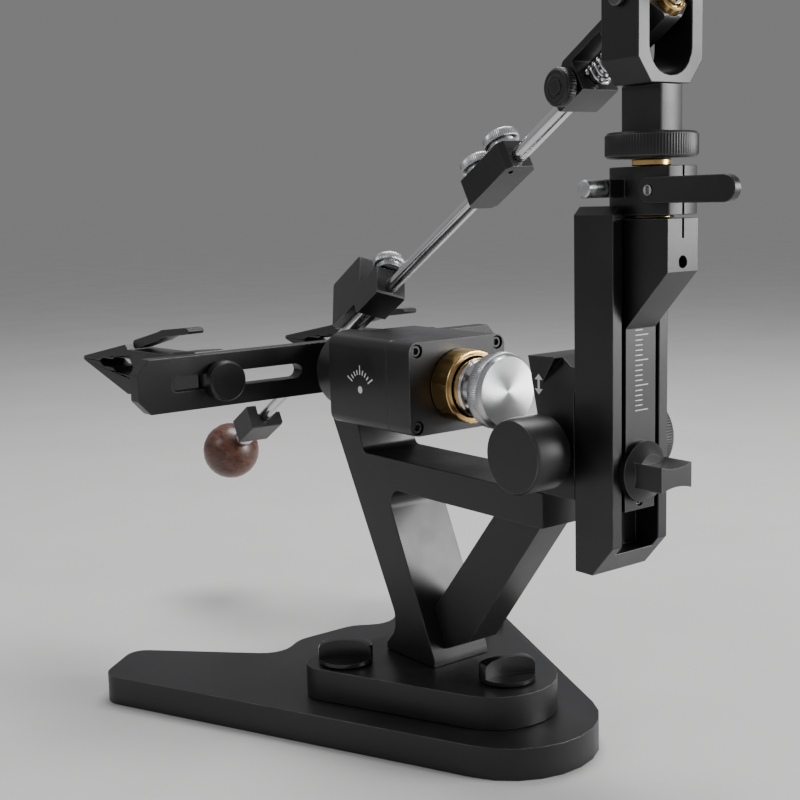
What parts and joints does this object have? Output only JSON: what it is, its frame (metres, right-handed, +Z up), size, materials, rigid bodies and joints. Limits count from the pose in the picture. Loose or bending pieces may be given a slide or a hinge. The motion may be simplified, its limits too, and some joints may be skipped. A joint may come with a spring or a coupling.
{
  "type": "guided-rod knife sharpener",
  "caption": "Guided-rod knife sharpener: a slotted clamp bar on a turning head and heavy foot, with a hinged honing rod on a rack-driven lifting column.",
  "frame": {"origin": "on the table under the foot, in the middle plane, below the middle of the turning head's two housings", "axes": "+X to the right seen from the user's side, +Y from the user to the column at the rear, +Z up"},
  "size_m": [0.3, 0.5524, 0.4331],
  "materials": {
    "black_anodised": "black satin anodised",
    "black_plastic": "matte",
    "polished_steel": "polished",
    "turned_aluminium": "turned and knurled, bare",
    "brass": "turned",
    "stained_wood": "dark red-brown oiled"
  },
  "bodies": {
    "stand": {"base_plate": "black_anodised", "raised_plate": "black_anodised", "stand_frame": "black_anodised", "diagonal_brace": "black_anodised", "housing_body": "black_anodised", "housing_cover": "black_anodised", "front_bearing": "polished_steel", "rear_bearing": "polished_steel", "spindle_bush": "brass", "column_bracket": "black_anodised"},
    "thumb_knob_left": {"thumb_knob_left": "black_plastic"},
    "thumb_knob_right": {"thumb_knob_right": "black_plastic"},
    "thumb_knob_rear": {"thumb_knob_rear": "black_plastic"},
    "turning_head": {"spindle": "polished_steel", "turning_knob": "turned_aluminium", "bar_flange": "black_anodised", "clamp_bar": "black_anodised"},
    "clamp_left": {"clamp_block_left": "black_anodised", "lower_jaw_left": "black_anodised", "jaw_pin_left": "polished_steel"},
    "clamp_knob_left": {"clamp_knob_left": "black_anodised"},
    "upper_jaw_left": {"upper_jaw_left": "black_anodised"},
    "clamp_lever_left": {"clamp_lever_left": "black_anodised"},
    "clamp_right": {"clamp_block_right": "black_anodised", "lower_jaw_right": "black_anodised", "jaw_pin_right": "polished_steel"},
    "clamp_knob_right": {"clamp_knob_right": "black_anodised"},
    "upper_jaw_right": {"upper_jaw_right": "black_anodised"},
    "clamp_lever_right": {"clamp_lever_right": "black_anodised"},
    "column": {"column": "black_anodised", "travel_stop": "black_anodised"},
    "pinion": {"pinion_shaft": "polished_steel", "lift_knob": "black_anodised"},
    "lock_knob": {"lock_knob": "black_anodised"},
    "slide_arm": {"slide_arm": "black_anodised", "head_block": "black_anodised", "lower_washer": "brass", "wheel_collar": "brass", "lever_screw": "turned_aluminium"},
    "wing_knob": {"wing_knob": "black_anodised"},
    "cam_lever": {"cam_lever": "black_anodised"},
    "stop_nut": {"stop_nut": "turned_aluminium"},
    "hinge_post": {"hinge_post": "black_anodised"},
    "height_wheel": {"height_wheel": "black_anodised"},
    "yoke": {"yoke": "black_anodised", "swing_bolt": "turned_aluminium", "tilt_screw_left": "turned_aluminium", "tilt_screw_right": "turned_aluminium"},
    "rod_guide": {"rod_guide": "black_anodised", "guide_bush": "brass", "guide_spring": "polished_steel"},
    "brake_knob": {"brake_knob": "black_anodised"},
    "rod": {"guide_rod": "polished_steel", "ball_grip": "stained_wood", "rod_stop": "black_anodised", "lower_holder": "black_anodised", "upper_holder": "black_anodised"},
    "holder_screw_lower": {"holder_screw_lower": "turned_aluminium"},
    "holder_screw_upper_1": {"holder_screw_upper_1": "turned_aluminium"},
    "holder_screw_upper_2": {"holder_screw_upper_2": "turned_aluminium"}
  },
  "joints": [
    {"name": "thumb_knob_left_turn", "type": "hinge", "parent": "stand", "child": "thumb_knob_left", "pos_m": [-0.053, -0.022, 0.0405], "axis": [0, 0, 1], "range_deg": [-180, 180]},
    {"name": "thumb_knob_right_turn", "type": "hinge", "parent": "stand", "child": "thumb_knob_right", "pos_m": [0.053, -0.022, 0.0405], "axis": [0, 0, 1], "range_deg": [-180, 180]},
    {"name": "thumb_knob_rear_turn", "type": "hinge", "parent": "stand", "child": "thumb_knob_rear", "pos_m": [0, 0.064, 0.0405], "axis": [0, 0, 1], "range_deg": [-180, 180]},
    {"name": "head_turn", "type": "hinge", "parent": "stand", "child": "turning_head", "pos_m": [0, 0, 0.2061], "axis": [0, 1, 0], "range_deg": [-35, 0]},
    {"name": "clamp_left_slide", "type": "slide", "parent": "turning_head", "child": "clamp_left", "axis": [-1, 0, 0], "range_m": [-0.03, 0.02]},
    {"name": "clamp_knob_left_turn", "type": "hinge", "parent": "clamp_left", "child": "clamp_knob_left", "pos_m": [-0.086, -0.0935, 0.2061], "axis": [0, 1, 0], "range_deg": [-180, 180]},
    {"name": "upper_jaw_left_hinge", "type": "hinge", "parent": "clamp_left", "child": "upper_jaw_left", "pos_m": [-0.086, -0.178, 0.2061], "axis": [1, 0, 0], "range_deg": [-5, 0]},
    {"name": "clamp_lever_left_hinge", "type": "hinge", "parent": "upper_jaw_left", "child": "clamp_lever_left", "pos_m": [-0.086, -0.2034, 0.2209], "axis": [1, 0, 0], "range_deg": [0, 60]},
    {"name": "clamp_right_slide", "type": "slide", "parent": "turning_head", "child": "clamp_right", "axis": [1, 0, 0], "range_m": [-0.03, 0.02]},
    {"name": "clamp_knob_right_turn", "type": "hinge", "parent": "clamp_right", "child": "clamp_knob_right", "pos_m": [0.086, -0.0935, 0.2061], "axis": [0, 1, 0], "range_deg": [-180, 180]},
    {"name": "upper_jaw_right_hinge", "type": "hinge", "parent": "clamp_right", "child": "upper_jaw_right", "pos_m": [0.086, -0.178, 0.2061], "axis": [1, 0, 0], "range_deg": [-5, 0]},
    {"name": "clamp_lever_right_hinge", "type": "hinge", "parent": "upper_jaw_right", "child": "clamp_lever_right", "pos_m": [0.086, -0.2034, 0.2209], "axis": [1, 0, 0], "range_deg": [0, 60]},
    {"name": "column_slide", "type": "slide", "parent": "stand", "child": "column", "axis": [0, 0, 1], "range_m": [0, 0.06]},
    {"name": "pinion_turn", "type": "hinge", "parent": "stand", "child": "pinion", "pos_m": [0, 0.125, 0.1842], "axis": [1, 0, 0], "range_deg": [0, 250]},
    {"name": "lock_knob_turn", "type": "hinge", "parent": "stand", "child": "lock_knob", "pos_m": [0.035, 0.125, 0.1842], "axis": [1, 0, 0], "range_deg": [-90, 90]},
    {"name": "arm_slide", "type": "slide", "parent": "column", "child": "slide_arm", "axis": [0, 0, 1], "range_m": [0, 0.04]},
    {"name": "wing_knob_turn", "type": "hinge", "parent": "slide_arm", "child": "wing_knob", "pos_m": [0, 0.175, 0.1762], "axis": [0, 1, 0], "range_deg": [-90, 90]},
    {"name": "cam_lever_hinge", "type": "hinge", "parent": "slide_arm", "child": "cam_lever", "pos_m": [0.0135, 0.1831, 0.3147], "axis": [1, 0, 0], "range_deg": [-80, 0]},
    {"name": "stop_nut_turn", "type": "hinge", "parent": "slide_arm", "child": "stop_nut", "pos_m": [0.028, 0.1599, 0.3159], "axis": [1, 0, 0], "range_deg": [-90, 90]},
    {"name": "post_slide", "type": "slide", "parent": "slide_arm", "child": "hinge_post", "axis": [0, 0, 1], "range_m": [0, 0.008]},
    {"name": "height_wheel_turn", "type": "hinge", "parent": "slide_arm", "child": "height_wheel", "pos_m": [0, 0.1716, 0.3358], "axis": [0, 0, 1], "range_deg": [0, 1445]},
    {"name": "rod_swing", "type": "hinge", "parent": "hinge_post", "child": "yoke", "pos_m": [0, 0.1716, 0.3765], "axis": [0, 0, 1], "range_deg": [-1.5, 9.5]},
    {"name": "rod_tilt", "type": "hinge", "parent": "yoke", "child": "rod_guide", "pos_m": [0, 0.1716, 0.404], "axis": [0.9976, -0.0698, 0], "range_deg": [-40, 0]},
    {"name": "brake_knob_turn", "type": "hinge", "parent": "rod_guide", "child": "brake_knob", "pos_m": [0.01266, 0.12322, 0.36638], "axis": [0.9976, -0.0698, 0], "range_deg": [-180, 180]},
    {"name": "rod_slide", "type": "slide", "parent": "rod_guide", "child": "rod", "axis": [0.0601, 0.8594, 0.5077], "range_m": [0, 0.035]},
    {"name": "holder_screw_lower_turn", "type": "hinge", "parent": "rod", "child": "holder_screw_lower", "pos_m": [-0.02297, -0.06859, 0.2718], "axis": [-0.3745, -0.4521, 0.8096], "range_deg": [-180, 180]},
    {"name": "holder_screw_upper_1_turn", "type": "hinge", "parent": "rod", "child": "holder_screw_upper_1", "pos_m": [-0.00951, 0.03559, 0.33021], "axis": [-0.0354, -0.5065, 0.8615], "range_deg": [-180, 180]},
    {"name": "holder_screw_upper_2_turn", "type": "hinge", "parent": "rod", "child": "holder_screw_upper_2", "pos_m": [-0.00804, 0.05665, 0.34265], "axis": [-0.0354, -0.5065, 0.8615], "range_deg": [-180, 180]}
  ],
  "couplings": [
    {"joint": "pinion_turn", "follows": "column_slide", "rad_per_m": 71.94},
    {"joint": "height_wheel_turn", "follows": "post_slide", "rad_per_m": 3141.6},
    {"joint": "upper_jaw_left_hinge", "follows": "clamp_lever_left_hinge", "ratio": -0.08333},
    {"joint": "upper_jaw_right_hinge", "follows": "clamp_lever_right_hinge", "ratio": -0.08333}
  ]
}
